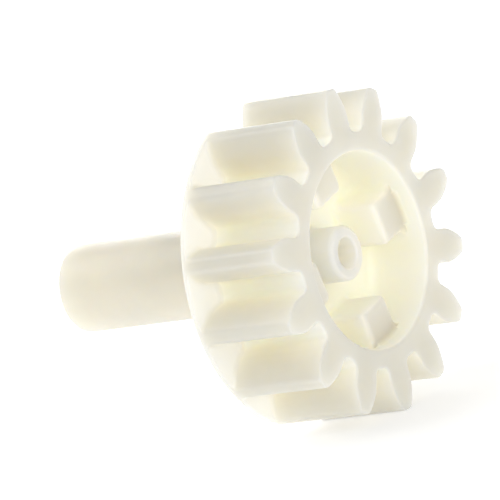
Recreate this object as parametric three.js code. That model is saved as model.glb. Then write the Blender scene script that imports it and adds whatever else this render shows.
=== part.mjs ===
// A moulded spur pinion with its own shaft, of the kind that drives a rack.
//
// Millimetres, +Z up. The pinion's axis lies along Y through the origin, which is the middle of
// its length: the cup opens towards -Y and the shaft points along +Y.
// The real pinion is one moulding. Here each of its working sections is a closed solid of its
// own, and neighbouring sections meet face to face on the same flat facets.
import * as THREE from "three";
import { mergeVertices } from "three/addons/utils/BufferGeometryUtils.js";

const RADIANS = Math.PI / 180;

// Tooth system
const MODULE = 2;
const TEETH = 14;
const PRESSURE_ANGLE = 20 * RADIANS;
const ADDENDUM = MODULE;
const DEDENDUM = 1.25 * MODULE;
const ROOT_FILLET = 0.38 * MODULE;
const TIP_ROUND = 0.16 * MODULE; // its reach along the flank and along the tip
const FIRST_TOOTH_ANGLE = 11.1 * RADIANS; // seen from the cup side, counterclockwise from +X

// Lengths along the axis
const OVERALL_LENGTH = 35.4;
const TOOTH_LENGTH = 10.2;
const FLANGE_THICKNESS = 0.6;
const HEAD_LENGTH = TOOTH_LENGTH + FLANGE_THICKNESS;

// The flange closes the tooth gaps only from one tooth to another.
const FLANGE_FIRST_TOOTH = 4;
const FLANGE_LAST_TOOTH = 9;

// Cup in the front face, its lugs and its hollow post
const CUP_RADIUS = 9.6;
const CUP_DEPTH = 6.7;
const CUP_FACETS = 100;
const LUGS = 4;
const LUG_WIDTH = 4.5;
const LUG_HALF_FACETS = 4; // half a lug touches this many facets of the cup wall
const LUG_INNER_DISTANCE = 5.7; // from the axis to a lug's flat inner face
const LUG_RECESS = 2;
const LUG_EDGE = 0.65;
const POST_RADIUS = 2.7;
const POST_RECESS = 2.6;
const POST_FACETS = 40;
const BORE_RADIUS = 1.5;
const BORE_DEPTH = 12;

// Shaft
const SHAFT_RADIUS = 4.4;
const SHAFT_FACETS = 48;
const SHAFT_ROOT_FILLET = 0.6;
const SHAFT_END_ROUND = { across: 2.5, along: 1 };

// Planes square to the axis, measured along the axis from the origin towards the cup side
const FRONT = OVERALL_LENGTH / 2;
const CUP_FLOOR = FRONT - CUP_DEPTH;
const TOOTH_BACK = FRONT - TOOTH_LENGTH;
const HEAD_BACK = FRONT - HEAD_LENGTH;
const SHAFT_END = FRONT - OVERALL_LENGTH;
const BORE_END = FRONT - POST_RECESS - BORE_DEPTH;

// Straight steps that stand for each rounded stretch
const FILLET_STEPS = 4;
const FLANK_STEPS = 5;
const TIP_STEPS = 3;
const END_ROUND_STEPS = 5;
const FLANGE_STEPS_PER_GAP = 6;

// Radii of the tooth system
const PITCH_RADIUS = (MODULE * TEETH) / 2;
const TIP_RADIUS = PITCH_RADIUS + ADDENDUM;
const ROOT_RADIUS = PITCH_RADIUS - DEDENDUM;
const BASE_RADIUS = PITCH_RADIUS * Math.cos(PRESSURE_ANGLE);
const TOOTH_PITCH = (2 * Math.PI) / TEETH;

const plastic = {
  rim: 0xe5e2d5,
  tooth: 0xdedccd,
  flange: 0xe4e2d6,
  floor: 0xf2ecd6,
  lug: 0xebe8da,
  post: 0xe6e2d4,
  shaft: 0xe1dccc,
};

const group = new THREE.Group();
group.name = "pinion";

// A quarter turn about X, written out so that shared corners stay exactly shared.
function quarterTurn(geometry) {
  const position = geometry.getAttribute("position");
  for (let i = 0; i < position.count; i++) {
    position.setXYZ(i, position.getX(i), -position.getZ(i), position.getY(i));
  }
}

// Adds a solid drawn with its axis along local Z as a named mesh with its axis along -Y.
function addNode(name, geometry, color) {
  quarterTurn(geometry);
  geometry.deleteAttribute("uv");
  geometry.deleteAttribute("normal");
  const closed = mergeVertices(geometry, 1e-4);
  closed.computeVertexNormals();
  const material = new THREE.MeshStandardMaterial({ color, roughness: 0.42, metalness: 0 });
  const mesh = new THREE.Mesh(closed, material);
  mesh.name = name;
  group.add(mesh);
}

const polar = (radius, angle) =>
  new THREE.Vector2(radius * Math.cos(angle), radius * Math.sin(angle));

const circle = (radius, count, start = 0) =>
  Array.from({ length: count }, (_, i) => polar(radius, start + (2 * Math.PI * i) / count));

// Evenly spaced values, with both ends.
function evenly(from, to, steps) {
  return Array.from({ length: steps + 1 }, (_, i) => from + ((to - from) * i) / steps);
}

// A flat outline, with or without a hole, drawn out from one plane square to the axis to another.
function prism(outline, back, front, hole) {
  const shape = new THREE.Shape(outline);
  if (hole) shape.holes.push(new THREE.Path(hole));
  const depth = front - back;
  const solid = new THREE.ExtrudeGeometry(shape, { depth, bevelEnabled: false });
  return solid.translate(0, 0, back);
}

const involute = (angle) => Math.tan(angle) - angle;

// Half of the angle that a tooth fills at a radius on its involute flank.
function halfToothAngle(radius) {
  const atPitch = Math.PI / (2 * TEETH);
  const flank = Math.acos(BASE_RADIUS / radius);
  return atPitch + involute(PRESSURE_ANGLE) - involute(flank);
}

// The radial foot of the flank runs into the root circle through a fillet.
const FOOT_HALF_ANGLE = halfToothAngle(BASE_RADIUS);
const FILLET_CENTRE_RADIUS = ROOT_RADIUS + ROOT_FILLET;
const FILLET_HALF_ANGLE = Math.asin(ROOT_FILLET / FILLET_CENTRE_RADIUS);
const TOOTH_BASE_HALF_ANGLE = FOOT_HALF_ANGLE + FILLET_HALF_ANGLE;

// One side of a tooth that points along angle 0, from the root circle out to the tip.
function toothFlank() {
  const centre = polar(FILLET_CENTRE_RADIUS, TOOTH_BASE_HALF_ANGLE);
  const from = TOOTH_BASE_HALF_ANGLE + Math.PI;
  const to = FOOT_HALF_ANGLE + 1.5 * Math.PI;
  const fillet = evenly(from, to, FILLET_STEPS).map((a) => polar(ROOT_FILLET, a).add(centre));
  const flankEnd = TIP_RADIUS - TIP_ROUND;
  const flank = evenly(BASE_RADIUS, flankEnd, FLANK_STEPS).map((r) => polar(r, halfToothAngle(r)));
  return [...fillet, ...flank, ...tipRound(flankEnd)];
}

// The rounded corner between the flank and the tip circle.
function tipRound(flankEnd) {
  const landHalfAngle = halfToothAngle(TIP_RADIUS) - TIP_ROUND / TIP_RADIUS;
  const start = polar(flankEnd, halfToothAngle(flankEnd));
  const corner = polar(TIP_RADIUS, halfToothAngle(TIP_RADIUS));
  const end = polar(TIP_RADIUS, landHalfAngle);
  const curve = new THREE.QuadraticBezierCurve(start, corner, end);
  return curve.getPoints(TIP_STEPS).slice(1);
}

const FLANK = toothFlank();
const turned = (point, angle) => point.clone().rotateAround(new THREE.Vector2(), angle);
const leftSide = (angle) => FLANK.map((p) => turned(p, angle));
const rightSide = (angle) => FLANK.map((p) => turned(new THREE.Vector2(p.x, -p.y), angle));
const toothAngle = (index) => FIRST_TOOTH_ANGLE + index * TOOTH_PITCH;

// The corners of the root circle under a tooth and across the gap that follows it.
function rootUnderTooth(index) {
  const angle = toothAngle(index);
  const first = rightSide(angle)[0];
  const last = leftSide(angle)[0];
  return [first, polar(ROOT_RADIUS, angle), last];
}

function rootAcrossGap(index) {
  const from = toothAngle(index) + TOOTH_BASE_HALF_ANGLE;
  const to = toothAngle(index + 1) - TOOTH_BASE_HALF_ANGLE;
  return evenly(from, to, 2)
    .slice(1, -1)
    .map((angle) => polar(ROOT_RADIUS, angle));
}

function rootOutline(first, last) {
  const points = [];
  for (let i = first; i <= last; i++) {
    points.push(...rootUnderTooth(i));
    if (i < last || last - first === TEETH - 1) points.push(...rootAcrossGap(i));
  }
  return points;
}

const wallCorner = (index) =>
  polar(CUP_RADIUS, FIRST_TOOTH_ANGLE + (2 * Math.PI * index) / CUP_FACETS);
const cupWall = Array.from({ length: CUP_FACETS }, (_, i) => wallCorner(i));
const bore = circle(BORE_RADIUS, POST_FACETS);

function addRim() {
  const rim = prism(rootOutline(0, TEETH - 1), HEAD_BACK, FRONT, cupWall);
  addNode("rim_ring", rim, plastic.rim);
}

function addTeeth() {
  for (let i = 0; i < TEETH; i++) {
    const angle = toothAngle(i);
    const foot = rootUnderTooth(i).slice(1, -1);
    const outline = [...rightSide(angle), ...leftSide(angle).reverse(), ...foot];
    const name = "tooth_" + String(i + 1).padStart(2, "0");
    addNode(name, prism(outline, TOOTH_BACK, FRONT), plastic.tooth);
  }
}

function addFlange() {
  const first = toothAngle(FLANGE_FIRST_TOOTH);
  const last = toothAngle(FLANGE_LAST_TOOTH);
  const startSide = rightSide(first);
  const endSide = leftSide(last);
  const steps = FLANGE_STEPS_PER_GAP * (FLANGE_LAST_TOOTH - FLANGE_FIRST_TOOTH);
  const edge = evenly(first, last, steps).map((angle) => polar(TIP_RADIUS, angle));
  const foot = rootOutline(FLANGE_FIRST_TOOTH, FLANGE_LAST_TOOTH).slice(1, -1).reverse();
  const outline = [...startSide, ...edge, ...endSide.reverse(), ...foot];
  addNode("back_flange", prism(outline, HEAD_BACK, TOOTH_BACK), plastic.flange);
}

function addCupFloor() {
  const floor = prism(cupWall, HEAD_BACK, CUP_FLOOR, bore);
  addNode("cup_floor", floor, plastic.floor);
}

// A lug stands on the cup floor and on the cup wall. Its sides are parallel, its inner face is
// flat, and its top inner edge is bevelled.
function addLugs() {
  for (let i = 0; i < LUGS; i++) {
    const middle = (i * CUP_FACETS) / LUGS;
    const outwards = polar(1, FIRST_TOOTH_ANGLE + (2 * Math.PI * i) / LUGS);
    const sideways = new THREE.Vector2(-outwards.y, outwards.x);
    const section = (wall) => {
      const inside = (distance, plane) => {
        const p = sideways.clone().multiplyScalar(wall.dot(sideways));
        p.addScaledVector(outwards, distance);
        return [p.x, p.y, plane];
      };
      return [
        [wall.x, wall.y, CUP_FLOOR],
        [wall.x, wall.y, FRONT - LUG_RECESS],
        inside(LUG_INNER_DISTANCE + LUG_EDGE, FRONT - LUG_RECESS),
        inside(LUG_INNER_DISTANCE, FRONT - LUG_RECESS - LUG_EDGE),
        inside(LUG_INNER_DISTANCE, CUP_FLOOR),
      ];
    };
    addNode("cup_lug_" + (i + 1), loft(lugWall(middle, sideways).map(section)), plastic.lug);
  }
}

// Points along the cup wall from one side of a lug to the other.
function lugWall(middle, sideways) {
  const ends = [middle - LUG_HALF_FACETS, middle + LUG_HALF_FACETS];
  const points = evenly(...ends, 2 * LUG_HALF_FACETS).map((c) => wallCorner(c).clone());
  const across = points.map((point) => Math.abs(point.dot(sideways)));
  // The end corners are beyond the lug's sides, and move back along their facets to meet them.
  for (const [end, next] of [[0, 1], [points.length - 1, points.length - 2]]) {
    const share = (across[end] - LUG_WIDTH / 2) / (across[end] - across[next]);
    points[end].lerp(points[next], share);
  }
  return points;
}

// A closed solid through a row of flat sections with the same number of corners.
function loft(sections) {
  const size = sections[0].length;
  const positions = sections.flat(2);
  const index = [];
  for (let s = 0; s < sections.length - 1; s++) {
    for (let i = 0; i < size; i++) {
      const a = s * size + i;
      const b = s * size + ((i + 1) % size);
      index.push(a, a + size, b, b, a + size, b + size);
    }
  }
  const last = (sections.length - 1) * size;
  for (let i = 1; i < size - 1; i++) {
    index.push(0, i, i + 1);
    index.push(last, last + i + 1, last + i);
  }
  const solid = new THREE.BufferGeometry();
  solid.setAttribute("position", new THREE.Float32BufferAttribute(positions, 3));
  solid.setIndex(index);
  return solid;
}

function addPost() {
  const post = prism(circle(POST_RADIUS, POST_FACETS), CUP_FLOOR, FRONT - POST_RECESS, bore);
  addNode("hollow_post", post, plastic.post);
}

// The shaft with the end of the blind bore, a fillet at its root and a rounded end.
function addShaft() {
  const { across, along } = SHAFT_END_ROUND;
  const quarter = evenly(0, Math.PI / 2, END_ROUND_STEPS);
  const endRound = quarter.map((t) => [
    SHAFT_RADIUS - across + across * Math.sin(t),
    SHAFT_END + along - along * Math.cos(t),
  ]);
  const rootFillet = evenly(0, Math.PI / 2, FILLET_STEPS).map((t) => [
    SHAFT_RADIUS + SHAFT_ROOT_FILLET * (1 - Math.cos(t)),
    HEAD_BACK - SHAFT_ROOT_FILLET * (1 - Math.sin(t)),
  ]);
  const profile = [
    [0, SHAFT_END],
    ...endRound,
    ...rootFillet,
    [BORE_RADIUS, HEAD_BACK],
    [BORE_RADIUS, BORE_END],
    [0, BORE_END],
  ];
  const points = profile.map(([radius, plane]) => new THREE.Vector2(radius, plane));
  const turnedShaft = new THREE.LatheGeometry(points, SHAFT_FACETS);
  quarterTurn(turnedShaft);
  addNode("shaft", turnedShaft, plastic.shaft);
}

addRim();
addTeeth();
addFlange();
addCupFloor();
addLugs();
addPost();
addShaft();

export default group;
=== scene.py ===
import math

import bmesh
import bpy
import numpy as np
from mathutils import Matrix, Vector


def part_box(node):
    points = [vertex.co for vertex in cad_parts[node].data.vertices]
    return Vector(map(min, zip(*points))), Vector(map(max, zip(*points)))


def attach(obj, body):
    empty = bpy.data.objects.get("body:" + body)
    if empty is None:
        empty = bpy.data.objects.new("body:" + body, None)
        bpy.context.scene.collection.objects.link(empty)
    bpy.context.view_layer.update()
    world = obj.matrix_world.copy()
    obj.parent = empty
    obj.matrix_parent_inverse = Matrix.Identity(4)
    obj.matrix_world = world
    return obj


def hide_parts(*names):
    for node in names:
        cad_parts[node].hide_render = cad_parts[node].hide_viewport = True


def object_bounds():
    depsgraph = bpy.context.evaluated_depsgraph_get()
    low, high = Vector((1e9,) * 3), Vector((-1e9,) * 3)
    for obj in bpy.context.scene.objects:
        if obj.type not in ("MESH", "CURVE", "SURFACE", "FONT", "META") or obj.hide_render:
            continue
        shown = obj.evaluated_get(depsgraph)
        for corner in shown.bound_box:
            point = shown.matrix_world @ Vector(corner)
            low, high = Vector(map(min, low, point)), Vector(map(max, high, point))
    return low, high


# The looks of a spur pinion moulded in one piece with its shaft, in natural translucent nylon.
#
# Row frame: the axis lies along Y, the cup opens towards -Y, the shaft points along +Y, Z is up.
# Lengths are millimetres in this script and become metres where the mesh, camera and lights are
# made. Angles round the axis go from +X towards +Z.
#
# The moulding is one closed mesh. It is drawn as a stack of rings round the axis, that runs from
# the bottom of the bore, over the post, the cup and the head, to the end of the shaft. Fine rings
# have one point for each column, and coarse rings one for every fourth column.

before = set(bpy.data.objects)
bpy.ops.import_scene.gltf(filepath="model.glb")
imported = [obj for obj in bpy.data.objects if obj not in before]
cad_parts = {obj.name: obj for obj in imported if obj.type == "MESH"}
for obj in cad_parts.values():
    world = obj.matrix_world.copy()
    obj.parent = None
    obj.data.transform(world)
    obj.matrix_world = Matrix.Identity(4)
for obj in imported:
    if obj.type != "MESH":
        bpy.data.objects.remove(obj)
cad_low, cad_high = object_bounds()

MM = 0.001
Y, Z = 1, 2  # the places of these axes in a point


def extent(node, axis):
    """Where a CAD node starts and ends along an axis."""
    low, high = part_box(node)
    return low[axis] / MM, high[axis] / MM


# Planes square to the axis and radii that the CAD nodes give
FRONT, HEAD_BACK = extent("rim_ring", Y)
TOOTH_BACK = extent("tooth_01", Y)[1]
CUP_FLOOR = extent("cup_floor", Y)[0]
LUG_FACE = extent("cup_lug_1", Y)[0]
POST_FACE = extent("hollow_post", Y)[0]
POST_RADIUS = extent("hollow_post", Z)[1]
SHAFT_END = extent("shaft", Y)[1]

# Tooth system
MODULE = 2.0
TEETH = 14
PRESSURE_ANGLE = math.radians(20)
ROOT_FILLET = 0.38 * MODULE
TIP_ROUND = 0.16 * MODULE
DEDENDUM = 1.25 * MODULE
FIRST_TOOTH_ANGLE = math.radians(11.1)
FOOT_TAPER = math.radians(0.35)  # the flank widens by this angle below the base circle
FLANGE_FIRST_TOOTH = 4
FLANGE_LAST_TOOTH = 9

TOOTH_PITCH = 2 * math.pi / TEETH
PITCH_RADIUS = MODULE * TEETH / 2
TIP_RADIUS = PITCH_RADIUS + MODULE
ROOT_RADIUS = PITCH_RADIUS - DEDENDUM
BASE_RADIUS = PITCH_RADIUS * math.cos(PRESSURE_ANGLE)

# Cup, lugs, post, bore and shaft
CUP_RADIUS = 9.6
CUP_FLOOR_FILLET = 1.3
LUGS = 4
LUG_HALF_WIDTH = 2.25
LUG_INNER_DISTANCE = 5.7  # from the axis to a lug's flat inner face
LUG_FLOOR_FILLET = 0.5
LUG_EDGE = 0.65
LUG_CORNER = 0.5  # round of the upright edges at a lug's inner side
LUG_HOLLOW = 0.7  # fillet where a lug's side meets the cup wall
LUG_TOP_RINGS = (0.06, 0.5, 1)  # shares of the way from a lug's edge to the wall
BORE_RADIUS = 1.5
BORE_DEPTH = 12.0
BORE_END = POST_FACE + BORE_DEPTH
BORE_END_ROUND = 0.4
BORE_END_RINGS = (0.35, 0.75)  # radii of rings on the bore's flat end
SHAFT_ROOT_FILLET = 0.6
SHAFT_RADIUS = extent("shaft", Z)[1] - SHAFT_ROOT_FILLET
SHAFT_END_ROUND_ACROSS = 2.5
SHAFT_END_ROUND_ALONG = 1.0
SHAFT_END_RINGS = (0.9, 0.55, 0.25)  # shares of the radius of the shaft's flat end

# Small rounds and fillets of the moulding
FRONT_ROUND = 0.2
RIM_ROUND = 0.35
REAR_ROUND = 0.25
FLANGE_FILLET = 0.45
FLANGE_ROUND = 0.2
BACK_ROUND = 0.2
WALL_FILLET = 0.65
POST_EDGE_ROUND = 0.55
BORE_EDGE_ROUND = 0.25
POST_FILLET = 0.5
SUPPORT = 0.15  # width of the flat strip that keeps a flat face flat beside a round
MERGE = 0.001  # points closer than this are one point

# Columns round the axis: a fine grid for teeth and lugs, a coarse one for the post and shaft.
# The steps of all half teeth and of all half lugs add up to the same number of columns.
HALF_TOOTH_STEPS = {"root": 3, "fillet": 5, "foot": 1, "flank": 5, "round": 4, "land": 2}
HALF_LUG_STEPS = {"inner": 24, "corner": 6, "side": 6, "hollow": 6, "wall": 28}
FINE = 2 * TEETH * sum(HALF_TOOTH_STEPS.values())
COARSE = FINE // 4
FIRST_COLUMN_ANGLE = FIRST_TOOTH_ANGLE - TOOTH_PITCH / 2
EVEN = FIRST_COLUMN_ANGLE + 2 * math.pi * np.arange(FINE) / FINE  # columns spread evenly
FIRST_TOOTH_COLUMN = FINE // TEETH // 2  # the middle of the first tooth and of the first lug


# ---------------------------------------------------------------- outlines square to the axis


def polar(radius, angle):
    """Points from polar coordinates, of which either may be one value or many."""
    return np.stack(np.broadcast_arrays(radius * np.cos(angle), radius * np.sin(angle)), -1)


def turn(points, angle):
    c, s = math.cos(angle), math.sin(angle)
    return points @ np.array([[c, s], [-s, c]])


def mirrored(points):
    return points * [1, -1]


def radii(outline):
    return np.hypot(outline[:, 0], outline[:, 1])


def angles(outline):
    """Polar angles of an outline's points, running on past a full turn."""
    return np.unwrap(np.arctan2(outline[:, 1], outline[:, 0]))


def offset(outline, distance):
    """A closed outline moved outwards, square to itself, by a distance for each point."""
    along = np.roll(outline, -1, 0) - outline
    normal = np.stack([along[:, 1], -along[:, 0]], -1)
    normal /= np.linalg.norm(normal, axis=1)[:, None]
    both = normal + np.roll(normal, 1, 0)
    both /= np.linalg.norm(both, axis=1)[:, None]
    return outline + both * np.reshape(distance, (-1, 1))


def steps(start, end, count):
    """Evenly spaced values after start, up to and with end."""
    return np.linspace(start, end, count + 1)[1:]


def half_tooth_angle(radius):
    """Half of the angle that a tooth fills at a radius on its involute flank."""

    def involute(a):
        return np.tan(a) - a

    flank = np.arccos(np.clip(BASE_RADIUS / radius, 0, 1))
    return math.pi / (2 * TEETH) + involute(PRESSURE_ANGLE) - involute(flank)


def half_tooth():
    """One side of a tooth that points along +X, from the middle of the gap to the middle of the tip."""
    n = HALF_TOOTH_STEPS
    foot = half_tooth_angle(BASE_RADIUS) + FOOT_TAPER
    fillet_radius = ROOT_RADIUS + ROOT_FILLET
    base = foot + math.asin(ROOT_FILLET / fillet_radius)
    root = polar(ROOT_RADIUS, np.linspace(-TOOTH_PITCH / 2, -base, n["root"] + 1))
    round_about = steps(math.pi - base, math.pi / 2 - foot, n["fillet"])
    fillet = polar(fillet_radius, -base) + polar(ROOT_FILLET, round_about)
    flank_end = TIP_RADIUS - TIP_ROUND
    foot_point = polar(BASE_RADIUS, np.array([-half_tooth_angle(BASE_RADIUS)]))
    flank_radii = steps(BASE_RADIUS, flank_end, n["flank"])
    flank = polar(flank_radii, -half_tooth_angle(flank_radii))
    land_angle = half_tooth_angle(TIP_RADIUS) - TIP_ROUND / TIP_RADIUS
    start, corner = flank[-1], polar(TIP_RADIUS, -half_tooth_angle(TIP_RADIUS))
    end = polar(TIP_RADIUS, -land_angle)
    t = steps(0, 1, n["round"])[:, None]
    tip_round = (1 - t) ** 2 * start + 2 * t * (1 - t) * corner + t**2 * end
    land = polar(TIP_RADIUS, steps(-land_angle, 0, n["land"]))
    return np.concatenate([root, fillet, foot_point, flank, tip_round, land])


def tooth_outline():
    half = half_tooth()
    tooth = np.concatenate([half, mirrored(half[1:-1])[::-1]])
    turned = [turn(tooth, FIRST_TOOTH_ANGLE + i * TOOTH_PITCH) for i in range(TEETH)]
    return np.concatenate(turned)


def half_lug(inner, widen, wall):
    """The cup's outline from the middle of a lug that points along +X to midway between two lugs.

    inner is the distance from the axis to the lug's flat inner face, widen is how far its side
    moves outwards, and wall is the radius between the lugs."""
    n = HALF_LUG_STEPS
    corner, hollow = LUG_CORNER, LUG_HOLLOW
    side = LUG_HALF_WIDTH + widen
    inner_across = np.linspace(0, side - corner, n["inner"] + 1)
    inner_line = np.stack([np.full(len(inner_across), inner), inner_across], -1)
    corner_turns = steps(math.pi, math.pi / 2, n["corner"])
    corner_arc = np.array([inner + corner, side - corner]) + polar(corner, corner_turns)
    hollow_angle = math.asin((side + hollow) / (wall - hollow))
    hollow_centre = polar(wall - hollow, hollow_angle)
    hollow_turns = steps(-math.pi / 2, hollow_angle, n["hollow"])
    hollow_arc = hollow_centre + polar(hollow, hollow_turns)
    hollow_start = hollow_centre - [0, hollow]
    t = steps(0, 1, n["side"])[:, None]
    side_line = corner_arc[-1] + (hollow_start - corner_arc[-1]) * t
    wall_arc = polar(wall, steps(hollow_angle, math.pi / LUGS, n["wall"]))
    return np.concatenate([inner_line, corner_arc, side_line, hollow_arc, wall_arc])


def cup_outline(inner, widen, wall):
    """The whole cup's outline, with its points in the order of the columns."""
    half = half_lug(inner, widen, wall)
    lug = np.concatenate([mirrored(half[1:])[::-1], half[:-1]])
    turned = [turn(lug, FIRST_TOOTH_ANGLE + 2 * math.pi * i / LUGS) for i in range(LUGS)]
    whole = np.concatenate(turned)
    lug_middle = FINE // LUGS // 2
    return np.roll(whole, FIRST_TOOTH_COLUMN - lug_middle, 0)


# ---------------------------------------------------------------- rings


def level(outline, plane):
    """A ring: an outline on a plane square to the axis, or each point on a plane of its own."""
    planes = np.broadcast_to(plane, len(outline))
    return np.stack([outline[:, 0], planes, outline[:, 1]], -1)


def circle(radius, plane, count=FINE):
    return level(polar(radius, EVEN[:: FINE // count]), plane)


def straight(a, b, count):
    """Evenly spaced rings after a, up to and with b."""
    return [a + (b - a) * t for t in steps(0, 1, count)]


def quarter(a, b, count, lateral_first):
    """Rings from a to b along a quarter of an ellipse: a round or a fillet. It starts square to
    the axis if lateral_first is true, and along the axis if not."""
    rings = []
    for t in steps(0, math.pi / 2, count):
        fast, slow = math.sin(t), 1 - math.cos(t)
        lateral, axial = (fast, slow) if lateral_first else (slow, fast)
        rings.append(a + (b - a) * [lateral, axial, lateral])
    return rings


def bore_and_post():
    """Coarse rings from the bottom of the bore, up and over the post, and down to the floor."""
    end_flat = BORE_RADIUS - BORE_END_ROUND
    rings = [circle(r, BORE_END, COARSE) for r in (*BORE_END_RINGS, end_flat)]
    rings += quarter(rings[-1], circle(BORE_RADIUS, BORE_END - BORE_END_ROUND, COARSE), 4, True)
    mouth = circle(BORE_RADIUS, POST_FACE + BORE_EDGE_ROUND, COARSE)
    rings += straight(rings[-1], mouth, 9)
    rings += quarter(mouth, circle(BORE_RADIUS + BORE_EDGE_ROUND, POST_FACE, COARSE), 4, False)
    face_inner = BORE_RADIUS + BORE_EDGE_ROUND + SUPPORT
    face_outer = POST_RADIUS - POST_EDGE_ROUND
    rings += [circle(r, POST_FACE, COARSE) for r in (face_inner, face_outer - SUPPORT, face_outer)]
    rings += quarter(rings[-1], circle(POST_RADIUS, POST_FACE + POST_EDGE_ROUND, COARSE), 5, True)
    rings += straight(rings[-1], circle(POST_RADIUS, CUP_FLOOR - POST_FILLET, COARSE), 5)
    rings += quarter(rings[-1], circle(POST_RADIUS + POST_FILLET, CUP_FLOOR, COARSE), 4, False)
    rings.append(circle(POST_RADIUS + POST_FILLET + SUPPORT, CUP_FLOOR, COARSE))
    return rings


def cup_wall():
    """Fine rings from the edge of the flat floor, up the wall and over the lugs, to the rim."""
    foot_inner = LUG_INNER_DISTANCE - LUG_FLOOR_FILLET
    foot_wall = CUP_RADIUS - CUP_FLOOR_FILLET
    foot = cup_outline(foot_inner, LUG_FLOOR_FILLET, foot_wall)
    foot_support = cup_outline(foot_inner - SUPPORT, LUG_FLOOR_FILLET + SUPPORT, foot_wall - SUPPORT)
    wall = cup_outline(LUG_INNER_DISTANCE, 0, CUP_RADIUS)
    fillet_height = np.linalg.norm(wall - foot, axis=1)
    rings = [level(foot_support, CUP_FLOOR), level(foot, CUP_FLOOR)]
    rings += quarter(rings[-1], level(wall, CUP_FLOOR - fillet_height), 6, True)
    rings += straight(rings[-1], level(wall, LUG_FACE + LUG_EDGE), 4)
    top = cup_outline(LUG_INNER_DISTANCE + LUG_EDGE, -LUG_EDGE, CUP_RADIUS)
    rings += quarter(rings[-1], level(top, LUG_FACE), 5, False)
    fan = fanned(angles(top))
    near_wall = polar(np.maximum(radii(top), CUP_RADIUS - WALL_FILLET), fan)
    rings += [level(top + (near_wall - top) * share, LUG_FACE) for share in LUG_TOP_RINGS]
    above = level(polar(CUP_RADIUS, fan), LUG_FACE - WALL_FILLET)
    rings += quarter(rings[-1], above, 4, True)
    rim_start = FRONT + RIM_ROUND
    for t in steps(0, 1, 4):
        plane = LUG_FACE - WALL_FILLET + (rim_start - LUG_FACE + WALL_FILLET) * t
        rings.append(level(polar(CUP_RADIUS, blended(fan, EVEN, t)), plane))
    rings += quarter(rings[-1], circle(CUP_RADIUS + RIM_ROUND, FRONT), 5, False)
    rings.append(circle(CUP_RADIUS + RIM_ROUND + SUPPORT, FRONT))
    return rings


def fanned(angle):
    """Angles with the columns of each lug spread evenly between its sides, so that none cross."""
    n = HALF_LUG_STEPS
    reach = n["inner"] + n["corner"] + n["side"] + 1  # up to the first column of the hollow
    column = np.arange(-reach, reach + 1)
    fan = angle.copy()
    for i in range(LUGS):
        middle = FIRST_TOOTH_COLUMN + i * FINE // LUGS
        side = angle[middle + reach] - angle[middle]
        fan[(middle + column) % FINE] = angle[middle] + side * column / reach
    return fan


def blended(angles_a, angles_b, share):
    """Angles part of the way from one list to another, whichever turn each list starts on."""
    gap = (angles_b - angles_a + math.pi) % (2 * math.pi) - math.pi
    return angles_a + gap * share


def front_face_and_flanks(outline):
    """Fine rings across the flat front, over the rounded front edges and along the teeth."""
    edge = offset(outline, -FRONT_ROUND)
    edge_support = offset(outline, -FRONT_ROUND - SUPPORT)
    angle = angles(edge_support)
    rim_middle = (CUP_RADIUS + ROOT_RADIUS) / 2
    under_teeth = ROOT_RADIUS - FRONT_ROUND - 2 * SUPPORT
    rings = [level(polar(rim_middle, blended(EVEN, angle, 0.5)), FRONT)]
    rings.append(level(polar(under_teeth, angle), FRONT))
    rings += straight(rings[-1], level(edge_support, FRONT), 4)
    rings.append(level(edge, FRONT))
    rings += quarter(rings[-1], level(outline, FRONT + FRONT_ROUND), 4, True)
    return rings


def column_sides():
    """For each column: 1 where the flange stands out behind the teeth, 0 where it ends along a
    tooth, and -1 where the backs of the teeth are free."""
    pitch = np.arange(FINE) / (FINE / TEETH)  # tooth number, with 0.5 at the middle of tooth 0
    free = (pitch < FLANGE_FIRST_TOOTH) | (pitch > FLANGE_LAST_TOOTH + 1)
    flanged = (pitch > FLANGE_FIRST_TOOTH + 0.5) & (pitch < FLANGE_LAST_TOOTH + 0.5)
    return np.where(free, -1, np.where(flanged, 1, 0))


def backs_of_teeth(outline):
    """Fine rings from the flanks round the free backs of the teeth or over the flange, and on
    to the edge of the flat back of the head."""
    side = column_sides()
    round_radius = np.where(side > 0, FLANGE_FILLET, REAR_ROUND)
    flank_end = level(outline, TOOTH_BACK - round_radius)
    rings = straight(level(outline, FRONT + FRONT_ROUND), flank_end, 9)
    turned_out = offset(outline, side * round_radius)
    angle = angles(turned_out)
    radius = np.clip(radii(turned_out), ROOT_RADIUS, TIP_RADIUS)
    rings += quarter(flank_end, level(polar(radius, angle), TOOTH_BACK), 5, False)
    rim_radius = np.where(side > 0, TIP_RADIUS, np.where(side < 0, ROOT_RADIUS, radius))
    edge_radius = rim_radius - side * FLANGE_ROUND
    edge_radius = np.where(side > 0, np.maximum(edge_radius, radius), edge_radius)
    edge_radius = np.where(side < 0, np.minimum(edge_radius, radius), edge_radius)
    rings += straight(rings[-1], level(polar(edge_radius, angle), TOOTH_BACK), 3)
    rim = polar(rim_radius, angle)
    rings += quarter(rings[-1], level(rim, TOOTH_BACK + FLANGE_ROUND), 3, True)
    rings.append(level(rim, HEAD_BACK - BACK_ROUND))
    rings += quarter(rings[-1], level(offset(rim, -BACK_ROUND), HEAD_BACK), 4, False)
    edge = offset(rim, -BACK_ROUND - SUPPORT)
    inner = ROOT_RADIUS - BACK_ROUND - 2 * SUPPORT
    rings.append(level(edge, HEAD_BACK))
    rings += straight(rings[-1], level(polar(inner, angles(edge)), HEAD_BACK), 3)
    rings.append(circle((inner + CUP_RADIUS) / 2, HEAD_BACK))
    return rings


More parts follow.
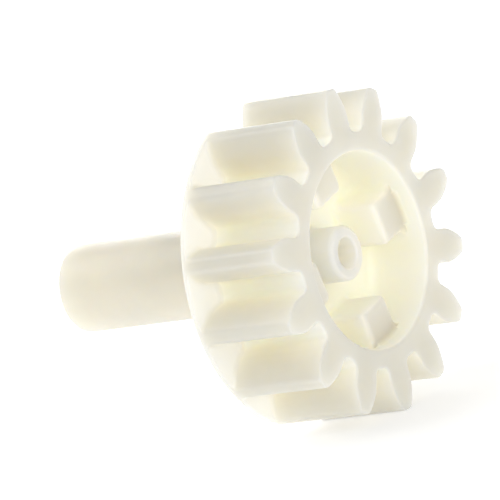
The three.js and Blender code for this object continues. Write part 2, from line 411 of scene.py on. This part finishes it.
def back_and_shaft():
    """Coarse rings from the flat back of the head along the shaft to its end."""
    root = SHAFT_RADIUS + SHAFT_ROOT_FILLET
    flat = np.linspace(CUP_RADIUS, root + SUPPORT, 4)
    rings = [circle(r, HEAD_BACK, COARSE) for r in (*flat, root)]
    rings += quarter(rings[-1], circle(SHAFT_RADIUS, HEAD_BACK + SHAFT_ROOT_FILLET, COARSE), 5, True)
    round_start = SHAFT_END - SHAFT_END_ROUND_ALONG
    rings += straight(rings[-1], circle(SHAFT_RADIUS, round_start, COARSE), 20)
    end_flat = SHAFT_RADIUS - SHAFT_END_ROUND_ACROSS
    rings += quarter(rings[-1], circle(end_flat, SHAFT_END, COARSE), 12, False)
    rings += [circle(end_flat * share, SHAFT_END, COARSE) for share in SHAFT_END_RINGS]
    return rings


# ---------------------------------------------------------------- the mesh


def add_ring(bm, ring):
    return [bm.verts.new(point * MM) for point in ring]


def join_rings(bm, a, b):
    """Faces between two rings, or from a fine ring to a coarse one."""
    ratio = len(a) // len(b)
    for i in range(len(b)):
        along = [a[(i * ratio + j) % len(a)] for j in range(ratio + 1)]
        bm.faces.new([*along, b[(i + 1) % len(b)], b[i]])


def add_stack(bm, rings):
    stack = [add_ring(bm, ring) for ring in rings]
    for a, b in zip(stack, stack[1:]):
        join_rings(bm, a, b)
    return stack


def close_with_point(bm, ring, plane):
    """Triangles from a ring to a point on the axis."""
    centre = bm.verts.new(Vector((0, plane, 0)) * MM)
    for i in range(len(ring)):
        bm.faces.new([ring[i], ring[(i + 1) % len(ring)], centre])


def fill_flat(bm, loop_a, loop_b):
    """Triangles across the flat area between two closed loops."""
    edges = []
    for loop in (loop_a, loop_b):
        for i in range(len(loop)):
            edges.append(bm.edges.get((loop[i], loop[(i + 1) % len(loop)])))
    bmesh.ops.triangle_fill(bm, use_beauty=True, edges=edges, normal=(0, -1, 0))


def make_moulding():
    outline = tooth_outline()
    bm = bmesh.new()
    post = add_stack(bm, bore_and_post())
    head = add_stack(bm, [*cup_wall(), *front_face_and_flanks(outline), *backs_of_teeth(outline)])
    shaft = add_stack(bm, back_and_shaft())
    fill_flat(bm, post[-1], head[0])
    join_rings(bm, head[-1], shaft[0])
    close_with_point(bm, post[0], BORE_END)
    close_with_point(bm, shaft[-1], SHAFT_END)
    bmesh.ops.remove_doubles(bm, verts=bm.verts, dist=MERGE * MM)
    bmesh.ops.recalc_face_normals(bm, faces=bm.faces)
    for face in bm.faces:
        face.smooth = True
    mesh = bpy.data.meshes.new("pinion_moulding")
    bm.to_mesh(mesh)
    bm.free()
    moulding = bpy.data.objects.new("pinion_moulding", mesh)
    bpy.context.scene.collection.objects.link(moulding)
    return moulding


# ---------------------------------------------------------------- materials


# Nylon: base colours with painted light and shade, along a share from 0 to 1: painted shade, greyer and
# darker, on the tips and shaft, and a painted glow, brighter and warmer, in the gaps and on the post
# Painted shade on the tips and shaft, painted glow in the gaps and on the post
TIP_PAINTED_SHADE = (0.55, 0.543, 0.495)
SHAFT_PAINTED_SHADE = (0.65, 0.635, 0.568)
GAP_PAINTED_GLOW = (0.97, 0.91, 0.765)
POST_PAINTED_GLOW = (1.0, 0.95, 0.785)
GAP_GLOW_SHARE = (TIP_RADIUS - ROOT_RADIUS) / (TIP_RADIUS - POST_RADIUS)
PAINTED_LIGHT_COLOURS = (
    (0, TIP_PAINTED_SHADE),
    (0.1, SHAFT_PAINTED_SHADE),
    (GAP_GLOW_SHARE, GAP_PAINTED_GLOW),
    (0.8, POST_PAINTED_GLOW),
)
OUTSIDE_GLOW_SHARE = 0.16  # share of the painted glow that is left on the outer faces and the shaft
BACK_BLEND = 0.5  # length over which the painted glow of the gaps fades in front of their back end
CLOUD = 0.03  # how far the nylon's random cloudiness moves the painted-light share up and down
SCATTER_DISTANCE = 10.0
SCATTER_SHARES = (1.0, 0.86, 0.62)  # of that distance, for red, green and blue
NYLON_IOR = 1.53
GLOSSY, DULL = 0.34, 0.46  # roughness of the patches of the skin

# Floor
FLOOR_HALF_WIDTH = 4000
FLOOR_COLOUR = (0.93, 0.93, 0.925, 1)
FLOOR_GLOW = 0.34  # lifts the lit floor to the photo's white


def add_node(tree, kind, **values):
    """A new node, with values for its input sockets or, where it has no such input, itself."""
    node = tree.nodes.new(kind)
    for name, value in values.items():
        if name in node.inputs:
            node.inputs[name].default_value = value
        else:
            setattr(node, name, value)
    return node


def noise(tree, place, scale, detail, roughness=0.5):
    """Noise with features of about 1 / scale metres."""
    node = add_node(tree, "ShaderNodeTexNoise", Scale=scale, Detail=detail, Roughness=roughness)
    tree.links.new(place, node.inputs["Vector"])
    return node.outputs["Fac"]


def ranged(tree, value, low, high, from_low=0.3, from_high=0.7):
    """A value moved from one range to another, by default from the range that noise mostly fills."""
    node = add_node(tree, "ShaderNodeMapRange")
    node.inputs["From Min"].default_value = from_low
    node.inputs["From Max"].default_value = from_high
    node.inputs["To Min"].default_value = low
    node.inputs["To Max"].default_value = high
    tree.links.new(value, node.inputs["Value"])
    return node.outputs["Result"]


def combined(tree, operation, a, b):
    """The result of an operation on two values, each a number or a node's output."""
    node = add_node(tree, "ShaderNodeMath", operation=operation)
    for socket, value in zip(node.inputs, (a, b)):
        if isinstance(value, (int, float)):
            socket.default_value = value
        else:
            tree.links.new(value, socket)
    return node.outputs["Value"]


def colour_ramp(tree, share, stops):
    """Colours along a share from 0 to 1, from (place, colour) stops."""
    node = add_node(tree, "ShaderNodeValToRGB")
    elements = node.color_ramp.elements
    for _ in stops[2:]:
        elements.new(0.5)
    for element, (place, colour) in zip(elements, stops):
        element.position = place
        element.color = (*colour, 1)
    tree.links.new(share, node.inputs["Fac"])
    return node.outputs["Color"]


def painted_light_share(tree, coordinates):
    """The share of painted light: 0 on the teeth's tips, a little on the outer faces and shaft, and 1
    on the post's side.

    It is painted light and shade: a painted glow for the light that gaps and the cup gather and pass
    on, and painted shade on the tips, on faces that look along the axis in front of the cup floor, and
    towards the backs of the teeth. It is set by place and direction, not by the wall's thickness: the
    flange is the thinnest wall and gets no painted glow."""
    place = coordinates.outputs["Object"]
    across = add_node(tree, "ShaderNodeVectorMath", operation="MULTIPLY")
    across.inputs[1].default_value = (1, 0, 1)
    tree.links.new(place, across.inputs[0])
    length = add_node(tree, "ShaderNodeVectorMath", operation="LENGTH")
    tree.links.new(across.outputs["Vector"], length.inputs[0])
    inward = ranged(tree, length.outputs["Value"], 0, 1, TIP_RADIUS * MM, POST_RADIUS * MM)

    # Painted shade: faces that look along the axis in front of the cup floor, and the backs of the
    # teeth, lose most of the painted glow
    most_glow_taken = 1 - OUTSIDE_GLOW_SHARE
    plane = axial_part(tree, place)
    shallow = ranged(tree, plane, most_glow_taken, 0, LUG_FACE * MM, CUP_FLOOR * MM)
    facing = combined(tree, "ABSOLUTE", axial_part(tree, coordinates.outputs["Normal"]), 0)
    face_share = combined(tree, "MULTIPLY", facing, shallow)
    blend_start = TOOTH_BACK - BACK_BLEND
    back_share = ranged(tree, plane, 0, most_glow_taken, blend_start * MM, TOOTH_BACK * MM)
    outside = combined(tree, "MAXIMUM", face_share, back_share)
    return combined(tree, "MULTIPLY", inward, combined(tree, "SUBTRACT", 1, outside))


def axial_part(tree, vector):
    """The part of a vector that lies along the pinion's axis."""
    split = add_node(tree, "ShaderNodeSeparateXYZ")
    tree.links.new(vector, split.inputs["Vector"])
    return split.outputs["Y"]


def natural_nylon():
    """Milky unpigmented nylon, in which light scatters over about a centimetre."""
    material = bpy.data.materials.new("natural_nylon")
    material.use_nodes = True
    tree = material.node_tree
    shader = tree.nodes["Principled BSDF"]
    shader.inputs["Subsurface Weight"].default_value = 1.0
    shader.inputs["Subsurface Radius"].default_value = SCATTER_SHARES
    shader.inputs["Subsurface Scale"].default_value = SCATTER_DISTANCE * MM
    shader.inputs["IOR"].default_value = NYLON_IOR
    coordinates = add_node(tree, "ShaderNodeTexCoord")
    place = coordinates.outputs["Object"]

    # Painted light and shade in the base colour: greyer and darker on the tips, outer faces and shaft,
    # brighter and warmer in the gaps and the cup, with the nylon's random cloudiness on top
    cloud = ranged(tree, noise(tree, place, scale=110, detail=4), -CLOUD, CLOUD)
    share = combined(tree, "ADD", painted_light_share(tree, coordinates), cloud)
    colour = colour_ramp(tree, share, PAINTED_LIGHT_COLOURS)
    tree.links.new(colour, shader.inputs["Base Color"])

    # The mould's fine spark-eroded skin, glossier in patches
    patches = noise(tree, place, scale=260, detail=3)
    tree.links.new(ranged(tree, patches, GLOSSY, DULL), shader.inputs["Roughness"])
    grain = noise(tree, place, scale=4200, detail=3, roughness=0.6)
    skin = add_node(tree, "ShaderNodeBump", Strength=0.25, Distance=0.03 * MM)
    tree.links.new(grain, skin.inputs["Height"])
    waves = noise(tree, place, scale=330, detail=2)
    sink = add_node(tree, "ShaderNodeBump", Strength=0.5, Distance=0.12 * MM)
    tree.links.new(waves, sink.inputs["Height"])
    tree.links.new(skin.outputs["Normal"], sink.inputs["Normal"])
    tree.links.new(sink.outputs["Normal"], shader.inputs["Normal"])
    return material


def floor_paper():
    material = bpy.data.materials.new("floor_paper")
    material.use_nodes = True
    shader = material.node_tree.nodes["Principled BSDF"]
    shader.inputs["Base Color"].default_value = FLOOR_COLOUR
    shader.inputs["Roughness"].default_value = 0.9
    shader.inputs["Specular IOR Level"].default_value = 0.1
    shader.inputs["Emission Color"].default_value = (1, 1, 1, 1)
    shader.inputs["Emission Strength"].default_value = FLOOR_GLOW
    return material


# ---------------------------------------------------------------- floor, camera and light

# The camera's line of sight passes a point inside the gear head, and the picture is tilted about
# it. The shifts move the aim from that point, to the right and up in the picture.
VIEW_AZIMUTH = math.radians(-53.35)
VIEW_ELEVATION = math.radians(9.78)
VIEW_ROLL = math.radians(-14.94)
VIEW_DISTANCE = 631.5
VIEW_CENTRE = Vector((0, -8, 0))
VIEW_SHIFT_RIGHT = -3.76
VIEW_SHIFT_UP = 1.04
PICTURE_WIDTH = 48.48  # across the picture, at the centre of the view
SENSOR_WIDTH = 36
CLIP_END = 100  # metres

# Azimuth and elevation in degrees, and power in watts, of each softbox
SOFTBOXES = {
    "back_softbox": (135, 15, 4.0),
    "cup_softbox": (-25, 14, 4.0),
    "top_softbox": (-150, 55, 2.9),
    "side_softbox": (-90, 25, 0.5),
}
SOFTBOX_DISTANCE = 900
SOFTBOX_WIDTH = 700
STUDIO_LIGHT = 0.41


def make_floor():
    mesh = bpy.data.meshes.new("floor")
    s = FLOOR_HALF_WIDTH
    height = cad_low[Z] / MM
    corners = [(-s, -s, height), (s, -s, height), (s, s, height), (-s, s, height)]
    mesh.from_pydata([Vector(c) * MM for c in corners], [], [(0, 1, 2, 3)])
    mesh.materials.append(floor_paper())
    floor = bpy.data.objects.new("floor", mesh)
    bpy.context.scene.collection.objects.link(floor)


def direction(azimuth, elevation):
    """The direction towards a camera or light, for angles in radians. Azimuth 0 faces the cup."""
    a, e = azimuth, elevation
    return Vector((math.sin(a) * math.cos(e), -math.cos(a) * math.cos(e), math.sin(e)))


def camera_axes():
    a, r = VIEW_AZIMUTH, VIEW_ROLL
    back = direction(VIEW_AZIMUTH, VIEW_ELEVATION)
    level_right = Vector((math.cos(a), math.sin(a), 0))
    level_up = back.cross(level_right)
    right = level_right * math.cos(r) + level_up * math.sin(r)
    up = level_up * math.cos(r) - level_right * math.sin(r)
    return right, up, back


def make_camera():
    right, up, back = camera_axes()
    data = bpy.data.cameras.new("camera")
    data.sensor_width = SENSOR_WIDTH
    data.lens = SENSOR_WIDTH * VIEW_DISTANCE / PICTURE_WIDTH
    data.clip_end = CLIP_END
    camera = bpy.data.objects.new("camera", data)
    aim = VIEW_CENTRE + right * VIEW_SHIFT_RIGHT + up * VIEW_SHIFT_UP
    place = (aim + back * VIEW_DISTANCE) * MM
    axes = Matrix((right, up, back)).transposed().to_4x4()
    camera.matrix_world = Matrix.Translation(place) @ axes
    bpy.context.scene.collection.objects.link(camera)
    bpy.context.scene.camera = camera


def add_softbox(name, azimuth, elevation, power):
    """A square area light that faces the head of the pinion."""
    towards = direction(math.radians(azimuth), math.radians(elevation))
    data = bpy.data.lights.new(name, "AREA")
    data.size = SOFTBOX_WIDTH * MM
    data.energy = power
    light = bpy.data.objects.new(name, data)
    light.location = (VIEW_CENTRE + towards * SOFTBOX_DISTANCE) * MM
    light.rotation_mode = "QUATERNION"
    light.rotation_quaternion = towards.to_track_quat("Z", "Y")
    bpy.context.scene.collection.objects.link(light)


def make_light():
    for name, (azimuth, elevation, power) in SOFTBOXES.items():
        add_softbox(name, azimuth, elevation, power)
    world = bpy.data.worlds.new("studio")
    world.use_nodes = True
    background = world.node_tree.nodes["Background"]
    background.inputs["Color"].default_value = (1, 1, 1, 1)
    background.inputs["Strength"].default_value = STUDIO_LIGHT
    bpy.context.scene.world = world
    bpy.context.scene.view_settings.view_transform = "Standard"


make_camera()
make_floor()
make_light()

moulding = make_moulding()
moulding.data.materials.append(natural_nylon())
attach(moulding, "root")
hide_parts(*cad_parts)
